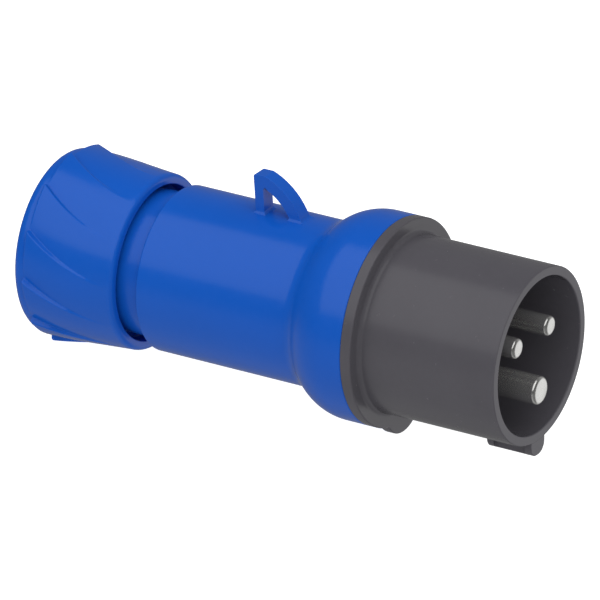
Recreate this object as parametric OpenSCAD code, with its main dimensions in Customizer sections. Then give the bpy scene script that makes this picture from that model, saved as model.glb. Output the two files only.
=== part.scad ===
// Industrial pin and sleeve plug, three pins, 16 A size, with a screwed cable gland.
// The plug's axis lies along X: the shroud's mouth is the plane X = 0 and the plug reaches back along -X.
// +Z points up, with the hanging loop on top and the key and the foot below. All sizes are in millimetres.

/* [Shroud] */
// Wall of the shroud
shroud_wall = 2.35; // [1.8:0.05:3]
// Depth from the mouth to the floor that carries the pins
shroud_depth = 37; // [35:0.5:39]
// Thickness of the floor that carries the pins
floor_t = 4; // [3:0.1:5]

/* [Flange and foot] */
// How far the flange stands out of the shroud, in radius
flange_over = 3.85; // [3.4:0.05:5]
// Thickness of the flange
flange_t = 2.5; // [1.8:0.1:3.5]
// How far the flange's front face lies in front of the floor
flange_lead = 0.3; // [0.1:0.1:1]
// Round of the hollow between the shroud and the flange
root_round = 1.2; // [0.4:0.1:2]
// Width of the foot where it leaves the flange
foot_w = 18.2; // [14:0.1:20]
// Width of the foot's flat underside
foot_flat = 5.2; // [3:0.1:8]
// How far the foot stands below the flange
foot_drop = 2.6; // [1.5:0.1:4]
// How far the foot's two flanks bulge
foot_bow = 0.5; // [0.2:0.1:0.8]

/* [Key] */
// Width of the key under the mouth
key_w = 6.4; // [5:0.1:8]
// Length of the key
key_l = 11.5; // [8:0.1:16]
// How far the key stands out of the shroud
key_h = 3.35; // [2.5:0.05:4]
// Depth of the hollow in each side of the key
key_hollow = 1.8; // [1:0.1:2]
// Wall that closes each end of the hollow
key_end = 1.8; // [1:0.1:2.5]

/* [Pins] */
// Radius of the circle that the three pins stand on
pin_circle_r = 8.85; // [8.6:0.05:9.2]
// Room between the pins' circle and the shroud's inside
pin_room = 10.55; // [10:0.05:11.2]
// Diameter of the line and neutral pins
live_d = 5; // [4.5:0.1:5.5]
// Diameter of the earth pin
earth_d = 7; // [6.5:0.1:7.5]
// How far the line and neutral tips lie behind the mouth
live_set = 1.2; // [0:0.1:3]
// How far the earth tip stands out of the mouth
earth_lead = 0.7; // [0:0.1:1.5]
// How much thicker the pins are, in radius, where the floor holds them
root_over = 0.3; // [0.2:0.05:0.5]
// Round of the pins' tips
tip_round = 0.6; // [0.3:0.1:1.2]
// Diameter of the collar that seats on the floor's back
collar_d = 10.8; // [10:0.1:11]
// Thickness of the collar
collar_t = 1.6; // [1.2:0.1:2.5]

/* [Terminals] */
// Diameter of the terminal barrel behind the collar
barrel_d = 9; // [8.4:0.1:9.6]
// Length of the terminal barrel
barrel_l = 13.6; // [13:0.1:16]
// Width of the wire chamber
chamber_w = 4.2; // [3.6:0.1:4.6]
// Height of the wire chamber, along the terminal screw
chamber_h = 4.4; // [4.2:0.1:4.8]
// Depth of the wire chamber from the barrel's back end
chamber_l = 10; // [9:0.1:10.4]
// Distance from the barrel's back end to the terminal screw
screw_set = 6.6; // [6:0.1:7]
// Thread diameter of the terminal screw
screw_d = 4; // [3.5:0.1:4.2]
// Head diameter of the terminal screw
screw_head_d = 6; // [5:0.1:7]
// Head height of the terminal screw
screw_head_h = 2; // [1.6:0.1:2.4]
// Travel of the terminal screw and its plate
screw_travel = 3.2; // [2:0.1:3.5]
// Thickness of the pressure plate
plate_t = 0.8; // [0.6:0.05:0.85]
// Length of the pressure plate
plate_l = 6.6; // [5:0.1:6.6]

/* [Retainer and barrier] */
// Thickness of the plate that holds the pins
retainer_t = 2.3; // [1.8:0.1:3]
// Wall of the phase barrier
barrier_t = 1.2; // [0.8:0.1:1.6]
// Length of the phase barrier
barrier_l = 13; // [10:0.5:16]
// Radius of the barrier's hub and of the boss in front of it
hub_r = 3; // [2.6:0.1:3.2]
// Length of the barrier's hub
hub_l = 9; // [6:0.5:10]
// Diameter of the retainer screw
retainer_screw_d = 3.5; // [3:0.1:3.8]
// Head height of the retainer screw
retainer_head_h = 2.2; // [1.6:0.1:2.6]

/* [Bayonet and seal] */
// Wall of the carrier's rear skirt
skirt_wall = 2.6; // [2.2:0.1:3]
// Length of the rear skirt behind the flange
skirt_l = 7.4; // [7:0.1:8]
// Section diameter of the housing seal
seal_d = 1.9; // [1.5:0.1:2]
// How far the bayonet lugs stand out of the skirt
lug_h = 0.9; // [0.6:0.05:1.1]
// Length of a bayonet lug along the axis
lug_l = 2; // [1.5:0.1:2.4]
// Angle that a bayonet lug spans
lug_deg = 14; // [10:1:20]
// Angle that the housing turns to lock
lock_deg = 25; // [20:1:35]

/* [Rear housing] */
// Wall of the housing
wall = 2.4; // [2:0.1:2.8]
// Radius of the housing's plain body
body_r = 20.35; // [19.8:0.05:21]
// Length of the housing's straight rim behind the flange
dome_lead = 5.9; // [5:0.1:7]
// Radius of the dome's round
dome_round = 13.4; // [12:0.1:14]
// Round of the hollow where the dome meets the body
dome_blend = 4; // [1:0.25:5]
// Length of the plain body, from the dome to the shoulder
body_l = 41.3; // [38:0.1:46]
// Depth of the step from the body down to the neck
neck_step = 2.55; // [2.2:0.05:3]
// Length of the neck behind the shoulder
neck_l = 23.2; // [22:0.1:25]
// Wall of the neck
neck_wall = 2.5; // [2:0.1:3]
// Distance from the shoulder to the gland thread
thread_lead = 8.2; // [7:0.1:9]

/* [Hanging loop] */
// Distance from the shoulder to the loop's back edge
loop_lead = 22.5; // [18:0.1:26]
// Thickness of the loop across the plug
loop_t = 4.1; // [3:0.1:5]
// Height of the loop above the body
loop_h = 9.7; // [8:0.1:11]
// Length of the loop along the body
loop_l = 12.4; // [11:0.1:14]
// Thickness of the loop's legs
loop_leg = 2.4; // [1.8:0.1:2.8]
// Radius of the loop's curved front
loop_round = 25; // [20:0.5:35]

/* [Cable gland] */
// Wall of the collet
collet_wall = 3.15; // [2.6:0.05:3.4]
// Number of fingers on the collet
fingers = 10; // [8:1:12]
// Gap between two fingers
finger_gap = 1.6; // [1.2:0.1:2]
// Distance from the collet's seat to the roots of its fingers
finger_root = 7.5; // [6:0.1:10]
// How far the collet stands out of the neck
collet_out = 5.9; // [5:0.1:6.5]
// Taper of the collet's fingers, in radius
collet_taper = 2.25; // [1.8:0.05:2.4]
// Wall of the grommet
grommet_wall = 3.8; // [3:0.1:4.5]
// Wall of the grommet's reducer
reducer_wall = 2.9; // [2:0.1:3.4]
// Thickness of the thrust washer
washer_t = 1.2; // [0.8:0.1:1.6]
// Width of the thrust washer's ring
washer_w = 4.45; // [3.5:0.05:5]

/* [Gland nut] */
// Gap between the body's shoulder and the nut's front edge
nut_gap = 5.4; // [4.5:0.1:6]
// How far the nut's front edge stands out of the body, in radius
nut_front_over = 0.85; // [0.5:0.05:2]
// How far the nut's back stands out of the body, in radius
nut_back_over = 2.35; // [1.5:0.05:3.5]
// Wall at the nut's back, which the cable passes
nut_back_wall = 2.8; // [2:0.1:3.5]
// Round of the nut's back edge
nut_round = 2.7; // [1.5:0.1:2.7]
// Wall of the nut's front lip
nut_lip = 1.5; // [1:0.1:1.7]
// Number of grip blades
blades = 12; // [8:1:16]
// Height of a grip blade at its back end
blade_h = 1.2; // [0.5:0.05:1.6]
// Distance from the nut's back face to the blades' back ends
blade_inset = 4; // [3:0.1:5]
// Angle that a blade sweeps from back to front
blade_sweep = 23.5; // [0:0.5:28]
// Pitch of the gland thread
pitch = 3; // [2:0.1:3]
// Depth of the gland thread
thread_h = 0.8; // [0.5:0.05:1]

/* [Fits] */
// Radial clearance of a turning or sliding fit
run_fit = 0.05; // [0.02:0.01:0.08]
// Radial clearance of the gland thread and of seated mouldings
seat_fit = 0.1; // [0.08:0.01:0.1]
// Gap between a fixed piece and a moving one
move_gap = 0.3; // [0.25:0.01:0.4]

/* [Hidden] */
$fn = 96;

// Angles round the axis, from +Y towards +Z
line_a = 30;
neutral_a = 150;
earth_a = 270;
lug_angles = [90, 210, 330];

// Small edges that break the mouldings' corners, the overrun of cuts and the overlap of joined bodies
edge = 0.4;
over = 1;
lap = 0.1;

// Carrier, from the mouth back
shroud_in = pin_circle_r + pin_room;
shroud_r = shroud_in + shroud_wall;
floor_back = shroud_depth + floor_t;
flange_r = shroud_r + flange_over;
flange_set = shroud_depth - flange_lead;
flange_back = flange_set + flange_t;
bore_r = flange_r - wall;
skirt_r = bore_r - 2*seat_fit;
skirt_in = skirt_r - skirt_wall;
skirt_back = flange_back + skirt_l;
skirt_land = 1;
lug_front = flange_back + skirt_land;
lug_back = lug_front + lug_l;
lug_root = 0.5;
seal_slack = 0.4;
groove_w = seal_d + seal_slack;
groove_front = lug_back + skirt_land;
groove_r = skirt_r + seat_fit - seal_d;
key_flat = 1;

// Pins and terminals
collar_back = floor_back + collar_t;
barrel_back = collar_back + barrel_l;
screw_x = barrel_back - screw_set;
root_lead = 0.2;
spot = 0.25;
head_lift = 0.2;
tip_gap = 0.03;
plate_top = pin_circle_r + chamber_h/2 - run_fit;
head_low = pin_circle_r + barrel_d/2 - spot + head_lift + screw_travel;
slot_w = 0.9;
slot_h = 1.1;

// Retainer, barrier and their screw
retainer_back = collar_back + retainer_t;
hub_back = retainer_back + hub_l;
screw_skin = 1.4;
screw_room = 0.2;
wall_start = retainer_screw_d/2 + 0.5;
hub_room = 0.4;
barrier_gap = 0.75;

// Housing
dome_c = flange_r - dome_round;
dome_set = flange_back + dome_lead;
blend_reach = dome_round + dome_blend;
blend_c = dome_set + sqrt(blend_reach*blend_reach - pow(body_r + dome_blend - dome_c, 2));
shoulder_set = blend_c + body_l;
loop_set = shoulder_set - loop_lead;
loop_flat = 2.1;
loop_top = 1.25*loop_leg;
loop_front = 1.08*loop_leg;
cavity_r = body_r - wall;
neck_r = body_r - neck_step;
neck_back = shoulder_set + neck_l;
collet_r = neck_r - neck_wall - seat_fit;
seat_lead = 1.8;
collet_seat = shoulder_set + seat_lead;
stop_over = 0.8;
stop_r = collet_r - collet_wall + stop_over;
thread_front = shoulder_set + thread_lead;
thread_turns = 5;
thread_form = [[0, 0], [thread_h, 0.18], [thread_h, 0.45], [0, 0.63]];

// Gland
grommet_r = collet_r - collet_wall;
reducer_r = grommet_r - grommet_wall;
reducer_in = reducer_r - reducer_wall;
collet_back = neck_back + collet_out;
collet_tip_r = collet_r - collet_taper;
collet_lip = 1.2;
collet_lip_t = 1.5;
grommet_front = collet_seat + collet_lip_t + seat_fit;
grommet_inset = 1;
grommet_back = collet_back - grommet_inset;
grommet_groove = 1;
washer_front = collet_back + seat_fit;
washer_back = washer_front + washer_t;
tip_room = 0.4;
pocket_r = collet_tip_r + tip_room;
washer_in = pocket_r - seat_fit - washer_w;

// Nut
nut_set = shoulder_set + nut_gap;
washer_seat = 0.2;
entry_r = washer_in - washer_seat;
pocket_back = washer_back + run_fit;
nut_back = pocket_back + nut_back_wall;
nut_front_r = body_r + nut_front_over;
nut_back_r = body_r + nut_back_over;
blade_back = nut_back - blade_inset;
blade_a = 360/blades;
blade_phase = 3;
blade_columns = 6;
blade_rows = 10;
riser_a = 0.4;
sweep_power = 1.65;
lip_round = 0.7;
lip_part = 0.3*lip_round;
step_l = 0.05;
nut_thread_r = neck_r + seat_fit;
nut_thread_lead = 3;
nut_thread_front = nut_set + nut_thread_lead;
nut_thread_back = neck_back + move_gap;
mouth_taper = 1;
pocket_lead = 0.3;

// A body turned about the X axis from points [radius, x]
module turned(points) {
    rotate([0, 90, 0]) rotate_extrude() polygon(points);
}

// The part of such a body between two angles round the axis
module turned_part(points, from_a, span_a) {
    rotate([from_a + 90, 0, 0]) rotate([0, 90, 0]) rotate_extrude(angle = span_a) polygon(points);
}

// A round bar along X
module rod(x0, x1, r) {
    translate([x0, 0, 0]) rotate([0, 90, 0]) cylinder(h = x1 - x0, r = r);
}

// A round bar along Y, at one place on X
module post(x, y0, y1, r) {
    translate([x, y0, 0]) rotate([-90, 0, 0]) cylinder(h = y1 - y0, r = r);
}

// A flat outline in the Y-Z plane, thickened along X
module slab(x0, x1, outline) {
    translate([x0, 0, 0]) rotate([90, 0, 90]) linear_extrude(x1 - x0) polygon(outline);
}

// Points on an arc about a centre, from one angle to another
function arc(c, r, a0, a1, n) = [for (i = [0:n]) let (a = a0 + (a1 - a0)*i/n) c + r*[cos(a), sin(a)]];

// Points on a shallow arc from one point to another, which bulges to the right of its way by bow
function bowed(p, q, bow, n) = let (
        span = norm(q - p),
        right = [q[1] - p[1], p[0] - q[0]]/span,
        r = span*span/8/bow + bow/2,
        c = (p + q)/2 + right*(bow - r),
        half = asin(span/2/r),
        mid = atan2(right[1], right[0]))
    arc(c, r, mid - half, mid + half, n);

// Contact carrier
module key_bar() {
    low = -(shroud_r + key_h);
    half = key_w/2;
    round_r = half - key_flat;
    difference() {
        slab(-key_l, 0, concat([[half, -shroud_in - 1]],
            arc([half - round_r, low + round_r], round_r, 0, -90, 4),
            arc([round_r - half, low + round_r], round_r, -90, -180, 4),
            [[-half, -shroud_in - 1]]));
        for (side = [0, 1]) mirror([0, side, 0])
            translate([key_end - key_l, half - key_hollow, low - over])
                cube([key_l - 2*key_end, key_hollow + over, key_h + 2*over + shroud_wall]);
    }
}

module foot_plate() {
    root = [foot_w/2, -sqrt(flange_r*flange_r - foot_w*foot_w/4)];
    flank = bowed([foot_flat/2, -flange_r - foot_drop], root, foot_bow, 6);
    inside = root + over*(root - flank[5])/norm(root - flank[5]);
    right = concat([for (i = [0:5]) flank[i]], [inside]);
    left = [for (i = [len(right) - 1:-1:0]) [-right[i][0], right[i][1]]];
    slab(-flange_back, -flange_set, concat(right, left));
}

module contact_carrier() {
    color([0.24, 0.24, 0.26]) difference() {
        union() {
            turned(concat([[shroud_in, 0], [shroud_r - edge, 0], [shroud_r, -edge]],
                arc([shroud_r + root_round, root_round - flange_set], root_round, 180, 270, 5),
                [[flange_r - edge, -flange_set], [flange_r, -flange_set - edge], [flange_r, -flange_back],
                [skirt_r, -flange_back], [skirt_r, -groove_front], [groove_r, -groove_front],
                [groove_r, -groove_front - groove_w], [skirt_r, -groove_front - groove_w],
                [skirt_r, -skirt_back], [skirt_in, -skirt_back], [skirt_in, -floor_back],
                [hub_r, -floor_back], [hub_r, -collar_back], [0, -collar_back],
                [0, -shroud_depth], [shroud_in, -shroud_depth]]));
            foot_plate();
            key_bar();
            for (a = lug_angles)
                turned_part([[skirt_r - lug_root, -lug_back], [skirt_r + lug_h, -lug_back],
                    [skirt_r + lug_h, -lug_front], [skirt_r - lug_root, -lug_front]], a - lug_deg/2, lug_deg);
        }
        pin_hole(line_a, live_d);
        pin_hole(neutral_a, live_d);
        pin_hole(earth_a, earth_d);
        rod(-collar_back - over, screw_room - shroud_depth - screw_skin, retainer_screw_d/2 + run_fit);
    }
}

module pin_hole(a, d) {
    rotate([a, 0, 0]) translate([0, pin_circle_r, 0])
        rod(-floor_back - over, -shroud_depth + over, d/2 + root_over + run_fit);
}

// Pins: one turned piece each, with the wire chamber and the screw hole cut in its barrel
module pin(a, d, tip) {
    barrel_r = barrel_d/2;
    color([0.78, 0.76, 0.70]) rotate([a, 0, 0]) difference() {
        translate([0, pin_circle_r, 0])
            turned(concat([[0, tip]], arc([d/2 - tip_round, tip - tip_round], tip_round, 90, 0, 4),
                [[d/2, root_lead - shroud_depth], [d/2 + root_over, root_lead - shroud_depth],
                [d/2 + root_over, -floor_back], [collar_d/2, -floor_back],
                [collar_d/2, -collar_back], [barrel_r, -collar_back], [barrel_r, edge - barrel_back],
                [barrel_r - edge, -barrel_back], [0, -barrel_back]]));
        translate([-barrel_back - over, pin_circle_r - chamber_h/2, -chamber_w/2])
            cube([chamber_l + over, chamber_h, chamber_w]);
        post(-screw_x, pin_circle_r, pin_circle_r + barrel_r + over, screw_d/2 + run_fit);
        post(-screw_x, pin_circle_r + barrel_r - spot, pin_circle_r + barrel_r + over,
            screw_head_d/2 + move_gap);
    }
}

module line_pin() { pin(line_a, live_d, -live_set); }
module neutral_pin() { pin(neutral_a, live_d, -live_set); }
module earth_pin() { pin(earth_a, earth_d, earth_lead); }

// Terminal screws, drawn open, with a slot in the head
module terminal_screw(a) {
    head_top = head_low + screw_head_h;
    color([0.72, 0.70, 0.62]) rotate([a, 0, 0]) difference() {
        union() {
            post(-screw_x, plate_top + tip_gap, head_low + lap, screw_d/2);
            post(-screw_x, head_low, head_top, screw_head_d/2);
        }
        translate([-screw_x - screw_head_d, head_top - slot_h, -slot_w/2])
            cube([2*screw_head_d, slot_h + over, slot_w]);
    }
}

module line_terminal_screw() { terminal_screw(line_a); }
module neutral_terminal_screw() { terminal_screw(neutral_a); }
module earth_terminal_screw() { terminal_screw(earth_a); }

// Pressure plates, which the screws push onto the wires
module pressure_plate(a) {
    width = chamber_w - 2*run_fit;
    color([0.8, 0.8, 0.8]) rotate([a, 0, 0])
        translate([-screw_x - plate_l/2, plate_top - plate_t, -width/2])
            cube([plate_l, plate_t, width]);
}

module line_pressure_plate() { pressure_plate(line_a); }
module neutral_pressure_plate() { pressure_plate(neutral_a); }
module earth_pressure_plate() { pressure_plate(earth_a); }

// Plate that holds the collars of the pins against the floor
module pin_retainer() {
    color([0.16, 0.16, 0.17]) difference() {
        rod(-retainer_back, -collar_back, skirt_in - seat_fit);
        for (a = [line_a, neutral_a, earth_a]) rotate([a, 0, 0]) translate([0, pin_circle_r, 0])
            rod(-retainer_back - over, -collar_back + over, barrel_d/2 + seat_fit);
        rod(-retainer_back - over, -collar_back + over, retainer_screw_d/2 + seat_fit);
    }
}

// Three insulating walls between the terminals, on a hub
module phase_barrier() {
    reach = cavity_r - barrier_gap;
    color([0.85, 0.85, 0.82]) difference() {
        union() {
            rod(-hub_back, -retainer_back, hub_r);
            for (a = lug_angles) rotate([a, 0, 0])
                translate([-retainer_back - barrier_l, wall_start, -barrier_t/2])
                    cube([barrier_l, reach - wall_start, barrier_t]);
        }
        rod(-hub_back - over, -retainer_back + over, retainer_screw_d/2 + seat_fit);
        rod(-retainer_back - barrier_l - over, -hub_back, hub_r + hub_room);
    }
}

module retainer_screw() {
    head_r = hub_r - lap;
    cross = 0.62*head_r;
    color([0.7, 0.7, 0.72]) difference() {
        union() {
            rod(-hub_back - lap, -shroud_depth - screw_skin, retainer_screw_d/2);
            rod(-hub_back - retainer_head_h, -hub_back, head_r);
        }
        for (a = [0, 90]) rotate([a, 0, 0])
            translate([-hub_back - retainer_head_h - over, -cross, -slot_w/2])
                cube([slot_h + over, 2*cross, slot_w]);
    }
}

// Round seal in the skirt's groove
module housing_seal() {
    color([0.1, 0.1, 0.1]) translate([-groove_front - groove_w/2, 0, 0]) rotate([0, 90, 0])
        rotate_extrude() translate([groove_r + run_fit + seal_d/2, 0]) circle(d = seal_d);
}

// Rear housing
function neck_thread() = [for (i = [0:thread_turns - 1], p = thread_form)
    [neck_r - p[0], -thread_front - (i + p[1])*pitch]];

module housing_shell() {
    dome_end = acos((body_r + dome_blend - dome_c)/blend_reach);
    steps = 6;
    inner_round = dome_round - wall;
    inner_end = acos((cavity_r - dome_c)/inner_round);
    turned(concat([[flange_r - edge, -flange_back], [flange_r, -flange_back - edge]],
        arc([dome_c, -dome_set], dome_round, 0, -dome_end, 10),
        arc([body_r + dome_blend, -blend_c], dome_blend, 180 - dome_end*(steps - 1)/steps, 180, steps - 1),
        [[body_r, edge - shoulder_set], [body_r - edge, -shoulder_set], [neck_r, -shoulder_set]],
        neck_thread(),
        [[neck_r, edge - neck_back], [neck_r - edge, -neck_back], [collet_r + seat_fit, -neck_back],
        [collet_r + seat_fit, -collet_seat], [stop_r, -collet_seat], [stop_r, wall - shoulder_set],
        [cavity_r, wall - shoulder_set]],
        arc([dome_c, -dome_set], inner_round, -inner_end, 0, 8),
        [[bore_r, -flange_back]]));
}

// Slots that the carrier's lugs enter, and the turns that lock them
module bayonet_slots() {
    top = skirt_r + lug_h + 2*seat_fit;
    end_slack = 0.2;
    side_slack = 1.5;
    side_step = 0.5;
    mid = (lug_front + lug_back)/2;
    for (a = lug_angles) {
        start = a - lug_deg/2 - side_slack;
        turned_part([[bore_r - over, -lug_back - end_slack], [top, -lug_back - end_slack],
            [top, end_slack - lug_front], [bore_r - over, end_slack - lug_front]],
            start, lug_deg + lock_deg + 2*side_slack);
        turned_part([[bore_r - over, -mid], [top - lap, -mid], [top - lap, over - flange_back],
            [bore_r - over, over - flange_back]], start + lock_deg + side_step,
            lug_deg + 2*side_slack - 2*side_step);
    }
}

// Hanging loop: a raked back leg and a curved front leg, open between them
module loop_outline(inset, centre, round_r) {
    rake = 0.7;
    spread = 3;
    x_back = -loop_set - rake;
    top = body_r + loop_h - inset*loop_top/loop_leg;
    rotate([90, 0, 0]) intersection() {
        linear_extrude(loop_t + 2*over, center = true) polygon([
            [inset - loop_set, body_r - over],
            [x_back + inset, top],
            [x_back + loop_l, top],
            [x_back + loop_l + spread, body_r - over]]);
        translate([centre[0], centre[1], 0])
            cylinder(h = loop_t + 2*over, r = round_r, center = true, $fn = 160);
    }
}

module hanging_loop() {
    top = body_r + loop_h;
    high = [loop_flat - loop_set, top];
    low = [-loop_set + loop_l, body_r];
    chord = low - high;
    span = norm(chord);
    side = [chord[1], -chord[0]]/span;
    centre = (high + low)/2 + side*sqrt(loop_round*loop_round - span*span/4);
    intersection() {
        difference() {
            loop_outline(0, centre, loop_round);
            loop_outline(loop_leg, centre, loop_round - loop_front);
        }
        translate([-loop_set - loop_l, -loop_t/2, body_r - over]) cube([3*loop_l, loop_t, loop_h + 2*over]);
    }
}

module rear_housing() {
    color([0.10, 0.32, 0.78]) {
        difference() {
            housing_shell();
            bayonet_slots();
        }
        hanging_loop();
    }
}

// Collet: a ring in the neck with fingers that reach into the nut
module clamp_collet() {
    slot_front = collet_seat + finger_root;
    lip_r = grommet_r - collet_lip;
    color([0.88, 0.88, 0.84]) difference() {
        turned([[lip_r, -collet_seat], [collet_r, -collet_seat], [collet_r, -neck_back],
            [collet_tip_r, -collet_back], [grommet_r, -collet_back],
            [grommet_r, -collet_seat - collet_lip_t], [lip_r, -collet_seat - collet_lip_t]]);
        for (i = [0:fingers - 1]) rotate([i*360/fingers, 0, 0])
            translate([-collet_back - over, grommet_r/2, -finger_gap/2])
                cube([collet_back - slot_front + over, collet_r, finger_gap]);
    }
}

// Rubber grommet, with two relief grooves round it
module cable_grommet() {
    r = grommet_r - run_fit;
    low = r - grommet_groove;
    mid = (grommet_front + grommet_back)/2;
    groove = [[r, 4], [low, 3], [low, 1.5], [r, 0.5]];
    color([0.13, 0.13, 0.14]) turned(concat([[reducer_r, -grommet_front], [r, -grommet_front]],
        [for (p = groove) [p[0], p[1] - mid]],
        [for (i = [3:-1:0]) [groove[i][0], -groove[i][1] - mid]],
        [[r, edge - grommet_back], [r - edge, -grommet_back], [reducer_r, -grommet_back]]));
}

// Removable inner ring of the grommet, with sealing lips inside and one at each end
module grommet_reducer() {
    r = reducer_r - run_fit;
    step = (grommet_back - grommet_front)/3;
    color([0.2, 0.2, 0.21]) turned(concat([[r, -grommet_back], [r, -grommet_front]],
        [for (i = [0:2], p = [[0, 0], [0, 0.2], [0.6, 0.35], [0.6, 0.65], [0, 0.8]])
            [reducer_in + p[0], -grommet_front - (i + p[1])*step]],
        [[reducer_in, -grommet_back]]));
}

// Slip ring between the nut and the collet
module thrust_washer() {
    color([0.9, 0.9, 0.88]) difference() {
        rod(-washer_back, -washer_front, pocket_r - seat_fit);
        rod(-washer_back - over, -washer_front + over, washer_in);
    }
}

// Gland nut: its skin is a tapered body with swept blades, each a ramp that ends in a steep riser
function skin_r(x) = nut_back_r + (nut_front_r - nut_back_r)*(nut_back - x)/(nut_back - nut_set);
function skin_t(x) = max(0, min(1, (blade_back - x)/(blade_back - nut_set - lip_round)));
function skin_point(x, r, h, k, j) = let (
        ramp = j/blade_columns,
        a = blade_phase + blade_a*k + (blade_a - riser_a)*ramp
            + blade_sweep*(1 - pow(1 - skin_t(x), sweep_power)),
        radius = r + h*(1 - ramp))
    [-x, radius*cos(a), radius*sin(a)];
function skin_rows() = concat(
    [for (i = [0:4]) let (a = 90*i/4) [nut_back - nut_round*(1 - cos(a)),
        skin_r(nut_back - nut_round) - nut_round*(1 - sin(a)), 0]],
    [[blade_back + step_l, skin_r(blade_back), 0]],
    [for (i = [0:blade_rows]) let (x = blade_back - (blade_back - nut_set - lip_round)*i/blade_rows)
        [x, skin_r(x), blade_h*(1 - i/blade_rows)]],
    [[nut_set + lip_part, nut_front_r - lip_part, 0], [nut_set, nut_front_r - lip_round, 0]]);

module nut_skin() {
    rows = skin_rows();
    across = blade_columns + 1;
    ring = blades*across;
    last = len(rows) - 1;
    points = [for (row = rows, k = [0:blades - 1], j = [0:blade_columns])
        skin_point(row[0], row[1], row[2], k, j)];
    sides = [for (i = [0:last - 1], c = [0:ring - 1]) let (
            a = i*ring + c,
            b = i*ring + (c + 1)%ring)
        each [[a, b, b + ring], [a, b + ring, a + ring]]];
    polyhedron(points, concat(sides, [[for (c = [0:ring - 1]) ring - 1 - c]],
        [[for (c = [0:ring - 1]) last*ring + c]]), convexity = 6);
}

module gland_nut() {
    grooves = [for (i = [0:thread_turns - 1], p = thread_form)
        [nut_thread_r + p[0], -nut_thread_front - (i + p[1])*pitch]];
    color([0.10, 0.32, 0.78]) difference() {
        nut_skin();
        turned(concat([[0, over - nut_set], [nut_front_r - nut_lip, over - nut_set],
            [nut_front_r - nut_lip, mouth_taper - nut_thread_front], [nut_thread_r, -nut_thread_front]],
            grooves,
            [[nut_thread_r, -nut_thread_back], [collet_r + mouth_taper, -nut_thread_back],
            [pocket_r, pocket_lead - washer_front], [pocket_r, -pocket_back], [0, -pocket_back]]));
        rod(-nut_back - over, over - pocket_back, entry_r);
    }
}

contact_carrier();
line_pin();
neutral_pin();
earth_pin();
line_terminal_screw();
neutral_terminal_screw();
earth_terminal_screw();
line_pressure_plate();
neutral_pressure_plate();
earth_pressure_plate();
pin_retainer();
phase_barrier();
retainer_screw();
housing_seal();
rear_housing();
clamp_collet();
cable_grommet();
grommet_reducer();
thrust_washer();
gland_nut();
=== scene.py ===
"""Looks of an industrial pin and sleeve plug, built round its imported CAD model.

Shapes are drawn in millimetres and scaled to metres once, when a piece is finished. The plug's axis is X, with the
shroud's mouth at 0 and the gland nut at the back, +Z is up, and angles round the axis run from +Y towards +Z.
"""

import logging
from dataclasses import dataclass
from enum import Enum
from math import acos, atan2, ceil, cos, degrees, hypot, pi, radians, sin, sqrt, tan, tau
from typing import Any, Callable, Protocol, Sequence

import bmesh
import bpy
from mathutils import Matrix, Vector


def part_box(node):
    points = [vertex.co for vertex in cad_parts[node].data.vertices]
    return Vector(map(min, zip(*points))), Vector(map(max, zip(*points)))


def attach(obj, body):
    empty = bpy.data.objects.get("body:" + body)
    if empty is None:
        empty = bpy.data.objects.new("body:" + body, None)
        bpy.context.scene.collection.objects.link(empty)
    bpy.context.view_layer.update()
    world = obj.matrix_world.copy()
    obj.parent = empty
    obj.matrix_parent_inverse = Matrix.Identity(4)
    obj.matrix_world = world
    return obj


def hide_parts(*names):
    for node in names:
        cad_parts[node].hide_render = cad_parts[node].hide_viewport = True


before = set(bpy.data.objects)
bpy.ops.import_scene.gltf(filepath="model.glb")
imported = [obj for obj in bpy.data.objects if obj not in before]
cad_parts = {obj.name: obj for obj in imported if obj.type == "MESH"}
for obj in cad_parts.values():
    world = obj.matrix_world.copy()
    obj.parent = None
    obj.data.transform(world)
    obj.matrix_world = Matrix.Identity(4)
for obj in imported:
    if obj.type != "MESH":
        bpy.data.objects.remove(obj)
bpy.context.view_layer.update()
LOG = logging.getLogger("plug")

# One millimetre in metres, and in millimetres: how near counts as the same, the weld, the overrun of cuts
MM = 0.001
NEAR = 0.01
WELD = 2e-4
OVER = 1.0

# Angle of one piece of a rounded corner, and the angles from which edges are rounded and stay sharp
ROUND_STEP = radians(18)
EDGE_ANGLE = radians(25)
SHARP_ANGLE = radians(35)
FULL_TURN = 360.0

LUG_ANGLES = (90.0, 210.0, 330.0)

Point = tuple[float, ...]
Edge = bmesh.types.BMEdge


class Body(Enum):
    """The CAD's moving bodies that pieces ride on."""

    PLUG = "plug"
    SLIP_RING = "slip_ring"
    NUT = "nut"
    LINE_SCREW = "line_screw"
    LINE_PLATE = "line_plate"
    NEUTRAL_SCREW = "neutral_screw"
    NEUTRAL_PLATE = "neutral_plate"
    EARTH_SCREW = "earth_screw"
    EARTH_PLATE = "earth_plate"


class Slot(Enum):
    """The record's material slots."""

    GREY = "carrier_grey"
    BLUE = "housing_blue"
    NUT_BLUE = "nut_blue"
    CONTACT = "contact_metal"
    ZINC = "zinc_steel"
    RETAINER = "retainer_black"
    BARRIER = "barrier_white"
    COLLET = "collet_white"
    SEAL = "seal_rubber"
    GROMMET = "grommet_rubber"


class Pole(Enum):
    """The three poles, each with its angle round the axis and its pin's diameter."""

    LINE = (30.0, 5.0)
    NEUTRAL = (150.0, 5.0)
    EARTH = (270.0, 7.0)


class Axis(Enum):
    """The axes of the frame."""

    X = "X"
    Y = "Y"
    Z = "Z"


class Boolean(Enum):
    """How one solid is combined with another."""

    JOIN = "UNION"
    CUT = "DIFFERENCE"


def low(node: str) -> Vector:
    """The lowest corner of a CAD node's box, in millimetres."""
    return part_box(node)[0] / MM


def high(node: str) -> Vector:
    """The highest corner of a CAD node's box, in millimetres."""
    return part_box(node)[1] / MM


def ends(node: str) -> tuple[float, float]:
    """The front and the back end of a CAD node on the axis, in millimetres."""
    return high(node).x, low(node).x


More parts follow.
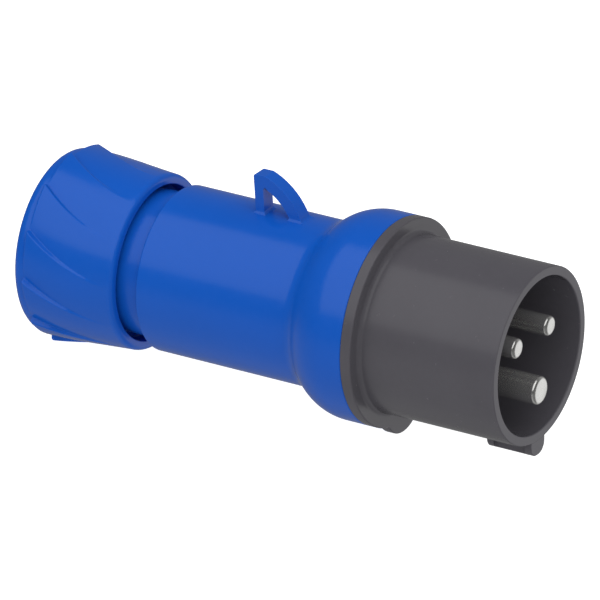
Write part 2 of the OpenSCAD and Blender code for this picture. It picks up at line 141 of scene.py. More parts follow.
def crosswise(edge: Edge) -> bool:
    """Whether an edge lies square to the X axis."""
    return abs(edge.verts[0].co.x - edge.verts[1].co.x) < NEAR


def arc(centre: Point, radius: float, start: float, end: float, steps: int) -> list[Point]:
    """Points on an arc from one angle to another, in degrees, both ends among them."""
    angles = [radians(start + (end - start) * i / steps) for i in range(steps + 1)]
    return [(centre[0] + radius * cos(a), centre[1] + radius * sin(a)) for a in angles]


def placed(name: str, data: bpy.types.ID | bmesh.types.BMesh, place: Matrix = Matrix()) -> bpy.types.Object:
    """Puts something into the scene.

    Args:
        name: Name of the new object.
        data: A light, a camera or a bmesh, which becomes a mesh and is freed.
        place: Its place, in metres.

    Returns:
        The object.
    """
    if isinstance(data, bmesh.types.BMesh):
        bm, data = data, bpy.data.meshes.new(name)
        bm.to_mesh(data)
        bm.free()
    item = bpy.data.objects.new(name, data)
    item.matrix_world = place
    bpy.context.scene.collection.objects.link(item)
    return item


@dataclass
class Outline:
    """A chain of corners in one plane, each of which may be rounded.

    Attributes:
        corners: The corners, as (along, across) or (along, across, round).
        closed: Whether the last corner leads back to the first.
        grain: Longest straight piece, or 0 to leave straight pieces whole.
    """

    corners: Sequence[Point]
    closed: bool = False
    grain: float = 0.0

    def path(self) -> list[Point]:
        """Rounds the corners and divides the long straight pieces.

        Returns:
            The outline's points.
        """
        points: list[Vector] = []
        count = len(self.corners)
        for i, corner in enumerate(self.corners):
            here = Vector(corner[:2])
            size = corner[2] if len(corner) > 2 else 0.0
            if not size or (not self.closed and i in (0, count - 1)):
                points.append(here)
                continue
            before = (Vector(self.corners[i - 1][:2]) - here).normalized()
            after = (Vector(self.corners[(i + 1) % count][:2]) - here).normalized()
            half = before.angle(after) / 2
            centre = here + (before + after).normalized() * size / sin(half)
            first = here + before * size / tan(half) - centre
            last = here + after * size / tan(half) - centre
            steps = max(2, ceil((pi - 2 * half) / ROUND_STEP))
            turn = first.angle_signed(last)
            for k in range(steps + 1):
                spot = first.copy()
                spot.rotate(Matrix.Rotation(-turn * k / steps, 2))
                points.append(centre + spot)
        return [tuple(p) for p in self._divided(points)]

    def _divided(self, points: list[Vector]) -> list[Vector]:
        """Divides the long straight pieces.

        Args:
            points: The outline's points.

        Returns:
            The same points with new ones between them.
        """
        if not self.grain:
            return points
        chain = points + points[:1] if self.closed else points
        result = [chain[0]]
        for a, b in zip(chain, chain[1:]):
            parts = max(1, ceil((b - a).length / self.grain - 0.01))
            result.extend(a.lerp(b, k / parts) for k in range(1, parts + 1))
        return result[:-1] if self.closed else result


def ring(*corners: Point, grain: float = 0.0) -> Outline:
    """A closed outline."""
    return Outline(corners, True, grain)


class Solid:
    """A closed shape in the making, in millimetres, held as a bmesh."""

    def __init__(self, bm: bmesh.types.BMesh) -> None:
        """Takes the bmesh over, welds it and turns its faces outwards."""
        self.bm = bm
        self.weld()

    def weld(self) -> None:
        """Merges doubled vertices, then turns all faces outwards."""
        bmesh.ops.remove_doubles(self.bm, verts=self.bm.verts, dist=WELD)
        bmesh.ops.recalc_face_normals(self.bm, faces=self.bm.faces)

    @classmethod
    def turned(cls, outline: Outline, steps: int = 192, start: float = 0.0, span: float = FULL_TURN) -> "Solid":
        """A body turned about the X axis, all the way or between two angles.

        Args:
            outline: Its half section, as (x, radius). It is closed, or it starts and ends on the axis.
            steps: Number of pieces round the axis.
            start: Angle of its first side, in degrees.
            span: Angle that it spans, in degrees.

        Returns:
            The solid.
        """
        bm = bmesh.new()
        verts = [bm.verts.new((x, r, 0.0)) for x, r in outline.path()]
        nexts = verts[1:] + (verts[:1] if outline.closed else [])
        edges = [bm.edges.new(pair) for pair in zip(verts, nexts)]
        bmesh.ops.rotate(bm, verts=verts, cent=(0, 0, 0), matrix=Matrix.Rotation(radians(start), 3, "X"))
        bmesh.ops.spin(
            bm, geom=verts + edges, cent=(0, 0, 0), axis=(1, 0, 0), dvec=(0, 0, 0), angle=radians(span),
            steps=steps, use_merge=span == FULL_TURN, use_normal_flip=False, use_duplicate=False,
        )
        if span < FULL_TURN:
            bmesh.ops.holes_fill(bm, edges=[e for e in bm.edges if e.is_boundary], sides=0)
        return cls(bm)

    @classmethod
    def slab(cls, outline: Outline, start: float, end: float, axis: Axis) -> "Solid":
        """A flat outline thickened along one axis.

        Args:
            outline: Its outline, as (y, z) for a slab along X or (x, z) for one along Y.
            start: Where it starts on the axis.
            end: Where it ends on the axis.
            axis: The axis that it is thickened along.

        Returns:
            The solid.
        """
        bm = bmesh.new()
        along_x = axis is Axis.X
        face = bm.faces.new([bm.verts.new((start, a, b) if along_x else (a, start, b)) for a, b in outline.path()])
        moved = bmesh.ops.extrude_face_region(bm, geom=[face])["geom"]
        way = (end - start, 0, 0) if along_x else (0, end - start, 0)
        bmesh.ops.translate(bm, vec=way, verts=[g for g in moved if isinstance(g, bmesh.types.BMVert)])
        return cls(bm)

    @classmethod
    def rod(cls, start: Point, end: Point, radius: float) -> "Solid":
        """A round bar.

        Args:
            start: Centre of its first end.
            end: Centre of its last end.
            radius: Its radius.

        Returns:
            The solid.
        """
        bm = bmesh.new()
        a, b = Vector(start), Vector(end)
        place = Matrix.Translation((a + b) / 2) @ (b - a).to_track_quat("Z", "Y").to_matrix().to_4x4()
        bmesh.ops.create_cone(bm, cap_ends=True, segments=64, radius1=radius, radius2=radius, depth=(b - a).length,
                              matrix=place)
        return cls(bm)

    @classmethod
    def drill(cls, start: float, end: float, radius: float, off: float = 0.0) -> "Solid":
        """A round bar along X between two places, off the axis towards +Y."""
        return cls.rod((start, off, 0), (end, off, 0), radius)

    @classmethod
    def block(cls, start: Point, end: Point, bevel: float = 0.0) -> "Solid":
        """A box.

        Args:
            start: Its lowest corner.
            end: Its highest corner.
            bevel: Width of the rounding of its edges, or 0 for none.

        Returns:
            The solid.
        """
        bm = bmesh.new()
        a, b = Vector(start), Vector(end)
        place = Matrix.Translation((a + b) / 2) @ Matrix.Diagonal((*(b - a), 1.0))
        bmesh.ops.create_cube(bm, size=1.0, matrix=place)
        made = cls(bm)
        return made.rounded(bevel, lambda edge: True) if bevel else made

    def rounded(self, size: float, wanted: Callable[[Edge], bool], segments: int = 3) -> "Solid":
        """Rounds the sharp edges that a test picks.

        Args:
            size: Width of the rounding.
            wanted: Test of an edge.
            segments: Number of strips across the rounding.

        Returns:
            The same solid.
        """
        edges = [e for e in self.bm.edges if e.calc_face_angle(0.0) > EDGE_ANGLE and wanted(e)]
        bmesh.ops.bevel(self.bm, geom=edges, offset=size, segments=segments, profile=0.5, affect="EDGES",
                        material=-1, clamp_overlap=True)
        self.weld()
        return self

    def about(self, angle: float, axis: Axis = Axis.X) -> "Solid":
        """Turns the solid about an axis by an angle in degrees."""
        bmesh.ops.rotate(self.bm, verts=self.bm.verts, matrix=Matrix.Rotation(radians(angle), 3, axis.value))
        return self

    def shifted(self, *way: float) -> "Solid":
        """Moves the solid by a vector."""
        bmesh.ops.translate(self.bm, verts=self.bm.verts, vec=way)
        return self

    def joined(self, *others: "Solid") -> "Solid":
        """The solid with others joined to it."""
        return self._combined(Boolean.JOIN, others)

    def cut(self, *others: "Solid") -> "Solid":
        """The solid with others cut out of it."""
        return self._combined(Boolean.CUT, others)

    def _combined(self, operation: Boolean, others: Sequence["Solid"]) -> "Solid":
        """Combines the solid with others, one after another.

        Args:
            operation: How it is combined with them.
            others: The other solids, which are used up.

        Returns:
            The same solid.
        """
        for other in others:
            items = [placed("making", solid.bm) for solid in (self, other)]
            modifier = items[0].modifiers.new("combine", "BOOLEAN")
            modifier.object = items[1]
            modifier.operation = operation.value
            modifier.solver = "EXACT"
            view = bpy.context.evaluated_depsgraph_get()
            result = bpy.data.meshes.new_from_object(items[0].evaluated_get(view))
            self.bm = bmesh.new()
            self.bm.from_mesh(result)
            for mesh in [item.data for item in items] + [result]:
                bpy.data.meshes.remove(mesh)
            self.weld()
        return self

    def move_each(self, place: Callable[[float, float, float], Point]) -> "Solid":
        """Moves each vertex.

        Args:
            place: Gives a vertex's new (x, radius, angle) from its old ones, with the angle in radians.

        Returns:
            The same solid.
        """
        for vert in self.bm.verts:
            x, radius, angle = place(vert.co.x, hypot(vert.co.y, vert.co.z), atan2(vert.co.z, vert.co.y) % tau)
            vert.co = (x, radius * cos(angle), radius * sin(angle))
        return self

    def piece(self, name: str, finish: "Finish", slot: Slot, node: str, body: Body = Body.PLUG) -> None:
        """Makes the solid an object of the scene, in place of a CAD node.

        Args:
            name: Name of the object.
            finish: Its finish.
            slot: Not used.
            node: The CAD node that it stands for.
            body: The body that it rides on.
        """
        bmesh.ops.scale(self.bm, vec=(MM, MM, MM), verts=self.bm.verts)
        item = placed(name, self.bm)
        item.data.shade_smooth()
        item.data.set_sharp_from_angle(angle=SHARP_ANGLE)
        item.data.materials.append(finish.material())
        shade = item.modifiers.new("normals", "WEIGHTED_NORMAL")
        shade.keep_sharp = True
        shade.weight = 80
        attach(item, body.value)
        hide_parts(node)
        LOG.info("%s: %d faces, %s", name, len(item.data.polygons), finish.name)


class Wire:
    """A value that flows between shader nodes, with Python's arithmetic on it."""

    def __init__(self, sheet: "Sheet", socket: bpy.types.NodeSocket) -> None:
        """Wraps one output socket of a sheet's node."""
        self.sheet = sheet
        self.socket = socket

    def _math(self, operation: str, *values: Any) -> "Wire":
        """A Math node on values."""
        return self.sheet.node("ShaderNodeMath", {"operation": operation}, dict(enumerate(values)))

    def __add__(self, other: Any) -> "Wire":
        """self + other."""
        return self._math("ADD", self, other)

    __radd__ = __add__

    def __sub__(self, other: Any) -> "Wire":
        """self - other."""
        return self._math("SUBTRACT", self, other)

    def __rsub__(self, other: Any) -> "Wire":
        """other - self."""
        return self._math("SUBTRACT", other, self)

    def __mul__(self, other: Any) -> "Wire":
        """self * other."""
        return self._math("MULTIPLY", self, other)

    __rmul__ = __mul__


class Sheet:
    """A node tree being filled."""

    def __init__(self, tree: bpy.types.NodeTree) -> None:
        """Empties the tree."""
        self.tree = tree
        tree.nodes.clear()

    def node(self, kind: str, settings: dict[str, Any], inputs: dict[str | int, Any], output: str | int = 0) -> Wire:
        """Adds one node.

        Args:
            kind: The node's type.
            settings: Its settings, set first.
            inputs: Values or wires of its sockets, by name or number.
            output: The output wanted, by name or number.

        Returns:
            That output.
        """
        node = self.tree.nodes.new(kind)
        for key, value in settings.items():
            setattr(node, key, value)
        for key, value in inputs.items():
            if isinstance(value, Wire):
                self.tree.links.new(value.socket, node.inputs[key])
            else:
                node.inputs[key].default_value = value
        return Wire(self, node.outputs[output] if node.outputs else None)

    def places(self, scale: Point) -> Wire:
        """Object coordinates in millimetres, stretched by a scale on each axis."""
        spot = self.node("ShaderNodeTexCoord", {}, {}, "Object")
        return self.node("ShaderNodeMapping", {}, {"Vector": spot, "Scale": [s / MM for s in scale]})

    def noise(self, scale: Point, detail: float = 2.0, roughness: float = 0.5) -> Wire:
        """Noise from 0 to 1, whose scale is in cycles per millimetre on each axis."""
        inputs = {"Vector": self.places(scale), "Scale": 1.0, "Detail": detail, "Roughness": roughness}
        return self.node("ShaderNodeTexNoise", {}, inputs)

    def blended(self, amount: Wire, first: Point, second: Point) -> Wire:
        """One colour that turns into another as amount goes from 0 to 1."""
        inputs = {"Factor": amount, 6: (*first, 1.0), 7: (*second, 1.0)}
        return self.node("ShaderNodeMix", {"data_type": "RGBA"}, inputs, 2)

    def range(self, value: Wire, from_low: float, from_high: float, to_low: float, to_high: float) -> Wire:
        """A value mapped from one range to another, and held inside it."""
        inputs = {"Value": value, "From Min": from_low, "From Max": from_high, "To Min": to_low, "To Max": to_high}
        return self.node("ShaderNodeMapRange", {"clamp": True}, inputs)

    def bump(self, height: Wire, depth: float, strength: float) -> Wire:
        """A normal from a height of 0 to 1 and its depth in millimetres."""
        return self.node("ShaderNodeBump", {}, {"Height": height, "Distance": depth * MM, "Strength": strength})


def tint(colour: Point, factor: float) -> Point:
    """A colour made lighter or darker."""
    return tuple(min(1.0, c * factor) for c in colour)


@dataclass(frozen=True)
class Finish:
    """A surface finish.

    Attributes:
        name: Its name, one material each.
        colour: Its base colour, linear.
        roughness: Its mean roughness.
        specular: Level of its specular reflection.
    """

    name: str
    colour: Point
    roughness: float
    specular: float = 0.5

    def material(self) -> bpy.types.Material:
        """Makes the finish's material the first time it is asked for.

        Returns:
            The material.
        """
        made = bpy.data.materials.get(self.name)
        if made:
            return made
        made = bpy.data.materials.new(self.name)
        made.use_nodes = True
        sheet = Sheet(made.node_tree)
        inputs = {"Roughness": self.roughness, "Base Color": (*self.colour, 1.0), "Specular IOR Level": self.specular}
        shader = sheet.node("ShaderNodeBsdfPrincipled", {}, inputs | self.inputs(sheet))
        sheet.node("ShaderNodeOutputMaterial", {}, {"Surface": shader})
        return made

    def inputs(self, sheet: Sheet) -> dict[str, Any]:
        """The shader inputs that this finish sets, by socket name."""
        return {}


@dataclass(frozen=True)
class MouldedPlastic(Finish):
    """Injection moulded plastic with a satin skin, soft clouds of colour and a fine spark-eroded grain.

    clouds is how far the colour wanders, and grain is the depth of the grain in millimetres. Scales are in cycles
    per millimetre.
    """

    clouds: float = 0.05
    cloud_scale: float = 0.05
    mottle_scale: float = 0.6
    grain: float = 0.004
    grain_scale: float = 5.0

    def inputs(self, sheet: Sheet) -> dict[str, Any]:
        """Clouds, mottle and grain.

        Args:
            sheet: The material's node tree.

        Returns:
            Base colour, roughness and normal.
        """
        cloud = sheet.noise((self.cloud_scale,) * 3, 3.0)
        mottle = sheet.noise((self.mottle_scale,) * 3, 4.0, 0.6)
        grain = sheet.noise((self.grain_scale,) * 3, 2.0, 0.6)
        shade = sheet.range(cloud * 0.7 + mottle * 0.3, 0.3, 0.7, 0.0, 1.0)
        return {
            "Base Color": sheet.blended(shade, tint(self.colour, 1 - self.clouds), tint(self.colour, 1 + self.clouds)),
            "Roughness": sheet.range(mottle, 0.25, 0.75, self.roughness - 0.03, self.roughness + 0.04),
            "Normal": sheet.bump(grain, self.grain, 0.6),
        }


@dataclass(frozen=True)
class PlatedMetal(Finish):
    """Bright plated metal with streaks along one axis, left by turning, drawing and use.

    streaks is their scale in cycles per millimetre, worn the colour where the plating is rubbed, bare how metallic
    it is, below 1 where the plating is frosted, and scratch the depth of the fine scratches in millimetres.
    """

    streaks: Point = (0.05, 2.2, 2.2)
    worn: Point = (0.6, 0.55, 0.42)
    bare: float = 1.0
    scratch: float = 0.0001

    def inputs(self, sheet: Sheet) -> dict[str, Any]:
        """Rubbed patches, streaks and fine scratches.

        Args:
            sheet: The material's node tree.

        Returns:
            Base colour, metal, roughness and normal.
        """
        streak = sheet.noise(self.streaks, 4.0, 0.7)
        patch = sheet.noise((0.25, 0.4, 0.4), 3.0)
        fine = sheet.noise(tuple(3 * s for s in self.streaks), 3.0, 0.7)
        rubbed = sheet.range(streak * 0.6 + patch * 0.4, 0.42, 0.66, 0.0, 1.0)
        return {
            "Base Color": sheet.blended(rubbed, self.colour, self.worn),
            "Metallic": self.bare,
            "Roughness": sheet.range(streak, 0.3, 0.7, self.roughness - 0.015, self.roughness + 0.02),
            "Normal": sheet.bump(fine, self.scratch, 0.05),
        }


@dataclass(frozen=True)
class MouldedRubber(Finish):
    """Matt black rubber with a bloom that is lighter by dust, and a skin of dimples so many millimetres deep."""

    dust: float = 2.2
    dimples: float = 0.01

    def inputs(self, sheet: Sheet) -> dict[str, Any]:
        """Bloom and a dimpled skin.

        Args:
            sheet: The material's node tree.

        Returns:
            Base colour, roughness and normal.
        """
        bloom = sheet.noise((0.3, 0.3, 0.3), 5.0, 0.65)
        grain = sheet.noise((4.0, 4.0, 4.0))
        dusty = sheet.range(bloom, 0.4, 0.75, 0.0, 1.0)
        return {
            "Base Color": sheet.blended(dusty, self.colour, tint(self.colour, self.dust)),
            "Roughness": sheet.range(bloom, 0.3, 0.7, self.roughness - 0.05, self.roughness + 0.08),
            "Normal": sheet.bump(grain, self.dimples, 0.6),
        }


@dataclass(frozen=True)
class StudioPaper(Finish):
    """Pale paper of the studio's floor, which glows by itself so that shadows stay faint."""

    glow: float = 1.0

    def inputs(self, sheet: Sheet) -> dict[str, Any]:
        """The paper's own light."""
        return {"Emission Color": (1.0, 1.0, 1.0, 1.0), "Emission Strength": self.glow}


GREY_SHELL = MouldedPlastic("grey_shell", (0.094, 0.090, 0.104), 0.24, 0.35, grain=0.002)
BLUE_SHELL = MouldedPlastic("blue_shell", (0.0055, 0.103, 0.550), 0.20, 0.35, clouds=0.03, grain=0.0012)
BLACK_PLASTIC = MouldedPlastic("black_plastic", (0.022, 0.022, 0.024), 0.5)
WHITE_PLASTIC = MouldedPlastic("white_plastic", (0.70, 0.69, 0.64), 0.45)
CONTACT_PLATE = PlatedMetal("contact_plate", (0.93, 0.93, 0.91), 0.2, worn=(0.88, 0.87, 0.84), bare=0.87)
SCREW_PLATE = PlatedMetal("screw_plate", (0.62, 0.62, 0.60), 0.3, streaks=(1.5, 1.5, 1.5), worn=(0.5, 0.5, 0.5))
SEAL_RUBBER = MouldedRubber("seal_rubber", (0.014, 0.014, 0.015), 0.62)
GROMMET_RUBBER = MouldedRubber("grommet_rubber", (0.02, 0.02, 0.022), 0.7)
STUDIO_PAPER = StudioPaper("studio_paper", (0.5, 0.5, 0.5), 0.9, 0.1)


@dataclass
class Thread:
    """A screw thread, as grooves in a turned surface, with a negative depth where they are cut outwards.

    flank and groove are the parts of the pitch that one flank and the whole groove take.
    """

    front: float
    back: float
    radius: float
    depth: float
    pitch: float
    flank: float = 0.18
    groove: float = 0.63

    def rows(self, step: float) -> list[Point]:
        """Corners of an outline along the thread, close enough to carry the grooves."""
        count = ceil(abs(self.front - self.back) / step)
        return [(self.front + (self.back - self.front) * i / count, self.radius) for i in range(count + 1)]

    def place(self, x: float, radius: float, angle: float) -> Point:
        """Cuts the groove into a point of the surface.

        Args:
            x: The point's place on the axis.
            radius: Its radius.
            angle: Its angle, in radians.

        Returns:
            Its new place, radius and angle.
        """
        if abs(radius - self.radius) > NEAR or not self.back < x < self.front:
            return x, radius, angle
        fade = min(1.0, (self.front - x) / self.pitch, (x - self.back) / self.pitch)
        part = (x / self.pitch - angle / tau) % 1.0
        wave = max(0.0, min(1.0, part / self.flank, (self.groove - part) / self.flank))
        return x, radius - self.depth * fade * wave, angle


@dataclass
class ContactCarrier:
    """The grey carrier: shroud with its key, flange with its foot, floor, and skirt with its bayonet lugs."""

    wall: float = 2.35
    inside_r: float = 19.4
    depth: float = 37.0
    floor_t: float = 4.0
    flange_t: float = 2.7
    flange_lead: float = 0.5
    root_round: float = 1.2
    mouth: float = 0.12
    edge: float = 0.4
    lip_round: float = 0.3
    foot_round: float = 8.4
    foot_edge: float = 0.35
    key_w: float = 6.4
    key_l: float = 12.1
    key_h: float = 3.75
    key_round: float = 2.7
    key_edge: float = 0.2
    key_hollow: float = 1.8
    hollow_round: float = 1.1
    skirt_r: float = 23.0
    skirt_in: float = 20.4
    land: float = 1.0
    lug_h: float = 0.9
    lug_l: float = 2.0
    lug_deg: float = 14.0
    lug_root: float = 0.5
    groove_w: float = 2.3
    groove_depth: float = 1.8
    hub_r: float = 3.0
    hub_h: float = 1.6
    circle_r: float = 8.85
    hole_over: float = 0.35
    screw_hole_r: float = 1.8
    screw_end: float = -38.2

    def __post_init__(self) -> None:
        """Works out the places that follow from the CAD node and the sizes."""
        self.flange_r = high("contact_carrier").y
        self.foot_z = low("contact_carrier").z
        self.skirt_back = low("contact_carrier").x
        self.flange_x = self.flange_lead - self.depth
        self.flange_back = self.flange_x - self.flange_t
        self.shell_r = self.inside_r + self.wall
        self.floor_back = -self.depth - self.floor_t

    def outline(self) -> Outline:
        """Draws the turned part.

        Returns:
            Its half section.
        """
        groove = self.flange_back - self.land - self.lug_l - self.land
        groove_r, groove_end = self.skirt_r - self.groove_depth, groove - self.groove_w
        return Outline([
            (-self.depth, 0), (-self.depth, self.inside_r, 0.4), (self.mouth, self.inside_r, 0.3),
            (self.mouth, self.shell_r, self.lip_round),
            (self.flange_x, self.shell_r, self.root_round), (self.flange_x, self.flange_r, self.edge),
            (self.flange_back, self.flange_r, 0.2), (self.flange_back, self.skirt_r),
            (groove, self.skirt_r, 0.15), (groove, groove_r), (groove_end, groove_r),
            (groove_end, self.skirt_r, 0.15), (self.skirt_back, self.skirt_r, 0.4),
            (self.skirt_back, self.skirt_in, 0.3), (self.floor_back, self.skirt_in, 0.3),
            (self.floor_back, self.hub_r, 0.2), (self.floor_back - self.hub_h, self.hub_r, 0.2),
            (self.floor_back - self.hub_h, 0),
        ], grain=3.0)

    def foot(self) -> Solid:
        """The rounded foot under the flange."""
        lobe = ring(*arc((0.0, self.foot_z + self.foot_round), self.foot_round, 190, 350, 40))
        return Solid.slab(lobe, self.flange_back, self.flange_x, Axis.X).rounded(self.foot_edge, crosswise)

    def key(self) -> Solid:
        """Builds the key under the mouth, with a hollow in each side.

        Returns:
            The key.
        """
        half, bottom, top = self.key_w / 2, -self.shell_r - self.key_h, -self.inside_r - OVER
        outline = ring((half, top), (half, bottom, self.key_round), (-half, bottom, self.key_round), (-half, top))
        bar = Solid.slab(outline, -self.key_l, 0, Axis.X).rounded(self.key_edge, crosswise)
        for side in (1, -1):
            web, out = side * (half - self.key_hollow), side * (half + 2 * OVER)
            start = (-self.key_l + self.key_hollow, min(web, out), bottom - 2 * OVER)
            end = (-self.key_hollow, max(web, out), top + 2 * OVER)
            bar.cut(Solid.block(start, end, self.hollow_round))
        return bar

    def lug(self, angle: float) -> Solid:
        """Builds one bayonet lug.

        Args:
            angle: Its place round the axis, in degrees.

        Returns:
            The lug.
        """
        front, root, top = self.flange_back - self.land, self.skirt_r - self.lug_root, self.skirt_r + self.lug_h
        back = front - self.lug_l
        outline = ring((front, root), (front, top, 0.2), (back, top, 0.2), (back, root))
        return Solid.turned(outline, 12, angle - self.lug_deg / 2, self.lug_deg)

    def build(self) -> None:
        """Makes the piece."""
        shell = Solid.turned(self.outline())
        shell.joined(self.foot(), self.key(), *(self.lug(a) for a in LUG_ANGLES))
        for angle, diameter in (pole.value for pole in Pole):
            radius = diameter / 2 + self.hole_over
            shell.cut(Solid.drill(self.floor_back - OVER, OVER - self.depth, radius, self.circle_r).about(angle))
        shell.cut(Solid.drill(self.floor_back - 3 * OVER, self.screw_end, self.screw_hole_r))
        shell.piece("carrier", GREY_SHELL, Slot.GREY, "contact_carrier")


@dataclass
class Terminal:
    """One pole: its pin with the terminal barrel, its screw and its pressure plate."""

    pole: Pole
    circle_r: float = ContactCarrier.circle_r
    floor_x: float = -ContactCarrier.depth
    floor_back: float = -ContactCarrier.depth - ContactCarrier.floor_t
    tip_round: float = 0.85
    root_over: float = 0.3
    root_lead: float = 0.2
    collar_d: float = 10.8
    collar_t: float = 1.6
    barrel_d: float = 9.0
    chamber_w: float = 4.2
    chamber_h: float = 4.4
    chamber_l: float = 10.0
    screw_x: float = -49.6
    screw_d: float = 4.0
    screw_fit: float = 0.05
    spot_d: float = 6.6
    spot_h: float = 0.25
    plate_t: float = 0.8
    plate_l: float = 6.6
    plate_w: float = 4.1
    plate_top: float = 11.0
    plate_edge: float = 0.12
    tip_gap: float = 0.03
    tip_cone: float = 0.3
    thread_h: float = 0.35
    pitch: float = 0.7
    head_d: float = 6.0
    head_h: float = 2.0
    head_low: float = 16.5
    slot_w: float = 0.9
    slot_h: float = 1.1

    def __post_init__(self) -> None:
        """Works out the names and the places that follow from the pole and its CAD node."""
        self.role = self.pole.name.lower()
        self.angle, self.diameter = self.pole.value
        self.tip, self.back = ends(self.role + "_pin")

    def pin(self) -> None:
        """Makes the pin, with its collar and its barrel."""
        r, barrel, collar = self.diameter / 2, self.barrel_d / 2, self.floor_back - self.collar_t
        root_x, root_r = self.floor_x + self.root_lead, r + self.root_over
        bar = Solid.turned(Outline([
            (self.tip, 0), (self.tip, r, self.tip_round), (root_x, r, 0.1), (root_x, root_r, 0.1),
            (self.floor_back, root_r), (self.floor_back, self.collar_d / 2, 0.2), (collar, self.collar_d / 2, 0.2),
            (collar, barrel), (self.back, barrel, 0.4), (self.back, 0),
        ], grain=4.0), 96)
        bar.shifted(0, self.circle_r, 0)
        half_w, half_h, top = self.chamber_w / 2, self.chamber_h / 2, self.circle_r + barrel
        bar.cut(Solid.block((self.back - OVER, self.circle_r - half_h, -half_w),
                            (self.back + self.chamber_l, self.circle_r + half_h, half_w)))
        for start, radius in ((self.circle_r, self.screw_d / 2 + self.screw_fit), (top - self.spot_h, self.spot_d / 2)):
            bar.cut(Solid.rod((self.screw_x, start, 0), (self.screw_x, top + OVER, 0), radius))
        bar.about(self.angle).piece(self.role + "_contact", CONTACT_PLATE, Slot.CONTACT, self.role + "_pin")

    def screw(self) -> None:
        """Makes the slotted screw."""
        r, head = self.screw_d / 2, self.head_d / 2
        tip, top = self.plate_top + self.tip_gap, self.head_low + self.head_h
        thread = Thread(self.head_low - self.tip_cone, tip + self.tip_cone, r, self.thread_h, self.pitch)
        screw = Solid.turned(Outline([
            (tip, 0), (tip, r - self.tip_cone), *reversed(thread.rows(0.07)), (self.head_low, r),
            (self.head_low, head, 0.2), (top, head, 0.35), (top, 0)]), 48)
        screw.move_each(thread.place)
        reach, half = head + OVER, self.slot_w / 2
        screw.cut(Solid.block((top - self.slot_h, -reach, -half), (top + OVER, reach, half)))
        screw.about(90, Axis.Z).shifted(self.screw_x, 0, 0).about(self.angle)
        name = self.role + "_screw"
        screw.piece(name, SCREW_PLATE, Slot.ZINC, self.role + "_terminal_screw", Body(name))

    def plate(self) -> None:
        """Makes the pressure plate."""
        half_l, half_w = self.plate_l / 2, self.plate_w / 2
        plate = Solid.block((self.screw_x - half_l, self.plate_top - self.plate_t, -half_w),
                            (self.screw_x + half_l, self.plate_top, half_w), self.plate_edge)
        name, node = self.role + "_plate", self.role + "_pressure_plate"
        plate.about(self.angle).piece(name + "_piece", SCREW_PLATE, Slot.ZINC, node, Body(name))

    def build(self) -> None:
        """Makes all three pieces."""
        self.pin()
        self.screw()
        self.plate()


